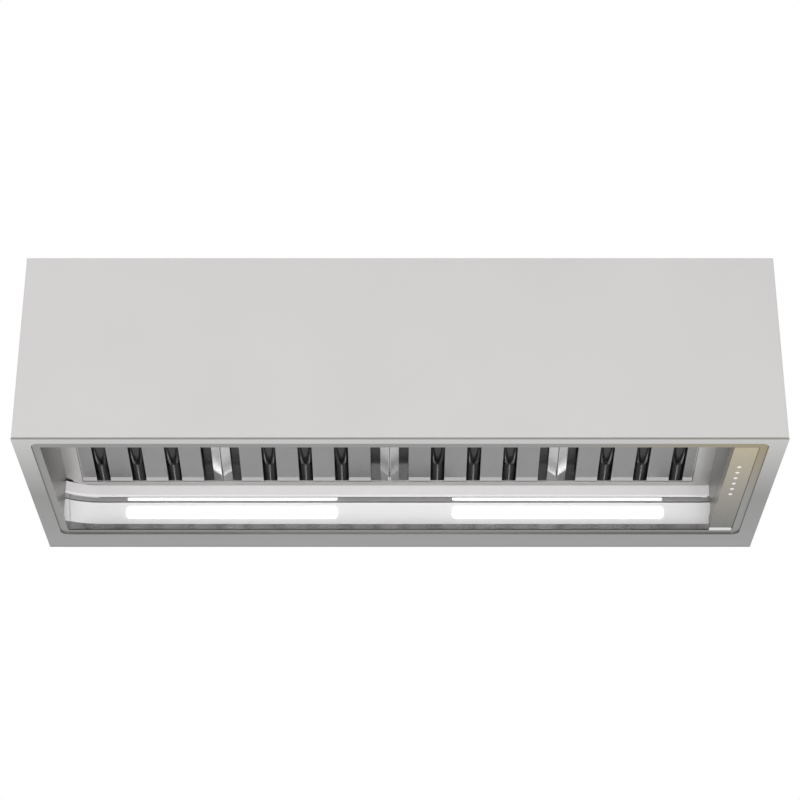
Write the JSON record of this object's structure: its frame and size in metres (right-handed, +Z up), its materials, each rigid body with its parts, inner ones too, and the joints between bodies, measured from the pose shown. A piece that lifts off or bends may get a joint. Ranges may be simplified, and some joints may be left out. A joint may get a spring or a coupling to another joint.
{
  "type": "undermount range hood",
  "caption": "Low box-shaped kitchen hood for under a cabinet, with swing-down baffle filters, strip lights, push buttons, an inner blower and a top duct collar with damper flaps.",
  "frame": {"origin": "middle of the lowest face, the underside rail", "axes": "+X along the width to the right as seen from the front, -Y to the front, +Z up to the duct collar"},
  "size_m": [0.9, 0.3, 0.291],
  "materials": {
    "casing_paint": "satin powder coat",
    "galvanised_sheet": "galvanised",
    "stainless_frame": "brushed along the length",
    "baffle_steel": "brushed",
    "handle_wire": "polished wire",
    "light_bar_finish": "bright satin",
    "panel_white": "gloss white enamel",
    "frosted_lens": "frosted",
    "circuit_board": "solder mask",
    "dark_plastic": "moulded",
    "button_white": "moulded",
    "motor_shell": "enamel",
    "plated_steel": "zinc plated",
    "flap_sheet": "mill",
    "lead_sheath": "matt"
  },
  "bodies": {
    "root": {"outer_casing": "casing_paint", "rear_panel": "galvanised_sheet", "underside_frame": "stainless_frame", "panel_screws": "plated_steel", "filter_deck": "stainless_frame", "side_liner_left": "stainless_frame", "side_liner_right": "stainless_frame", "light_bar": "light_bar_finish", "light_panel": "panel_white", "panel_end_left": "panel_white", "panel_end_right": "panel_white", "light_lens_left": "frosted_lens", "light_lens_right": "frosted_lens", "light_board_left": "circuit_board", "light_board_right": "circuit_board", "light_lead_left": "lead_sheath", "light_lead_right": "lead_sheath", "light_driver": "dark_plastic", "control_strip": "stainless_frame", "button_guide": "dark_plastic", "control_board": "circuit_board", "blower_scroll": "galvanised_sheet", "blower_side_left": "galvanised_sheet", "blower_side_right": "galvanised_sheet", "motor_housing": "motor_shell", "motor_bracket": "galvanised_sheet", "duct_collar": "galvanised_sheet", "collar_screws": "plated_steel", "damper_pin": "plated_steel", "terminal_box": "dark_plastic", "cable_gland": "dark_plastic", "capacitor": "motor_shell", "motor_lead": "lead_sheath"},
    "impeller": {"impeller_wheel": "dark_plastic", "motor_shaft": "plated_steel"},
    "damper_front": {"damper_flap_front": "flap_sheet"},
    "damper_rear": {"damper_flap_rear": "flap_sheet"},
    "filter_1": {"filter_frame_1": "baffle_steel", "front_baffles_1": "baffle_steel", "rear_baffles_1": "baffle_steel"},
    "handle_1": {"filter_handle_1": "handle_wire"},
    "filter_2": {"filter_frame_2": "baffle_steel", "front_baffles_2": "baffle_steel", "rear_baffles_2": "baffle_steel"},
    "handle_2": {"filter_handle_2": "handle_wire"},
    "filter_3": {"filter_frame_3": "baffle_steel", "front_baffles_3": "baffle_steel", "rear_baffles_3": "baffle_steel"},
    "handle_3": {"filter_handle_3": "handle_wire"},
    "filter_4": {"filter_frame_4": "baffle_steel", "front_baffles_4": "baffle_steel", "rear_baffles_4": "baffle_steel"},
    "handle_4": {"filter_handle_4": "handle_wire"},
    "button_1": {"control_button_1": "button_white"},
    "button_2": {"control_button_2": "button_white"},
    "button_3": {"control_button_3": "button_white"},
    "button_4": {"control_button_4": "button_white"},
    "button_5": {"control_button_5": "button_white"},
    "button_6": {"control_button_6": "button_white"}
  },
  "joints": [
    {"name": "filter_1_swing", "type": "hinge", "parent": "root", "child": "filter_1", "pos_m": [-0.328, 0.0686, 0.0547], "axis": [1, 0, 0], "range_deg": [0, 70]},
    {"name": "handle_1_swing", "type": "hinge", "parent": "filter_1", "child": "handle_1", "pos_m": [-0.328, -0.06008, 0.07356], "axis": [1, 0, 0], "range_deg": [-85, 70]},
    {"name": "filter_2_swing", "type": "hinge", "parent": "root", "child": "filter_2", "pos_m": [-0.118, 0.0686, 0.0547], "axis": [1, 0, 0], "range_deg": [0, 70]},
    {"name": "handle_2_swing", "type": "hinge", "parent": "filter_2", "child": "handle_2", "pos_m": [-0.118, -0.06008, 0.07356], "axis": [1, 0, 0], "range_deg": [-85, 70]},
    {"name": "filter_3_swing", "type": "hinge", "parent": "root", "child": "filter_3", "pos_m": [0.092, 0.0686, 0.0547], "axis": [1, 0, 0], "range_deg": [0, 70]},
    {"name": "handle_3_swing", "type": "hinge", "parent": "filter_3", "child": "handle_3", "pos_m": [0.092, -0.06008, 0.07356], "axis": [1, 0, 0], "range_deg": [-85, 70]},
    {"name": "filter_4_swing", "type": "hinge", "parent": "root", "child": "filter_4", "pos_m": [0.302, 0.0686, 0.0547], "axis": [1, 0, 0], "range_deg": [0, 70]},
    {"name": "handle_4_swing", "type": "hinge", "parent": "filter_4", "child": "handle_4", "pos_m": [0.302, -0.06008, 0.07356], "axis": [1, 0, 0], "range_deg": [-85, 70]},
    {"name": "button_1_press", "type": "slide", "parent": "root", "child": "button_1", "axis": [0, 0, 1], "range_m": [0, 0.001], "stiffness_N_per_m": 300},
    {"name": "button_2_press", "type": "slide", "parent": "root", "child": "button_2", "axis": [0, 0, 1], "range_m": [0, 0.001], "stiffness_N_per_m": 300},
    {"name": "button_3_press", "type": "slide", "parent": "root", "child": "button_3", "axis": [0, 0, 1], "range_m": [0, 0.001], "stiffness_N_per_m": 300},
    {"name": "button_4_press", "type": "slide", "parent": "root", "child": "button_4", "axis": [0, 0, 1], "range_m": [0, 0.001], "stiffness_N_per_m": 300},
    {"name": "button_5_press", "type": "slide", "parent": "root", "child": "button_5", "axis": [0, 0, 1], "range_m": [0, 0.001], "stiffness_N_per_m": 300},
    {"name": "button_6_press", "type": "slide", "parent": "root", "child": "button_6", "axis": [0, 0, 1], "range_m": [0, 0.001], "stiffness_N_per_m": 300},
    {"name": "impeller_spin", "type": "hinge", "parent": "root", "child": "impeller", "pos_m": [0, 0, 0.16], "axis": [1, 0, 0], "continuous": true},
    {"name": "damper_front_swing", "type": "hinge", "parent": "root", "child": "damper_front", "pos_m": [0, 0, 0.2585], "axis": [-1, 0, 0], "range_deg": [0, 80]},
    {"name": "damper_rear_swing", "type": "hinge", "parent": "root", "child": "damper_rear", "pos_m": [0, 0, 0.2585], "axis": [1, 0, 0], "range_deg": [0, 80]}
  ]
}
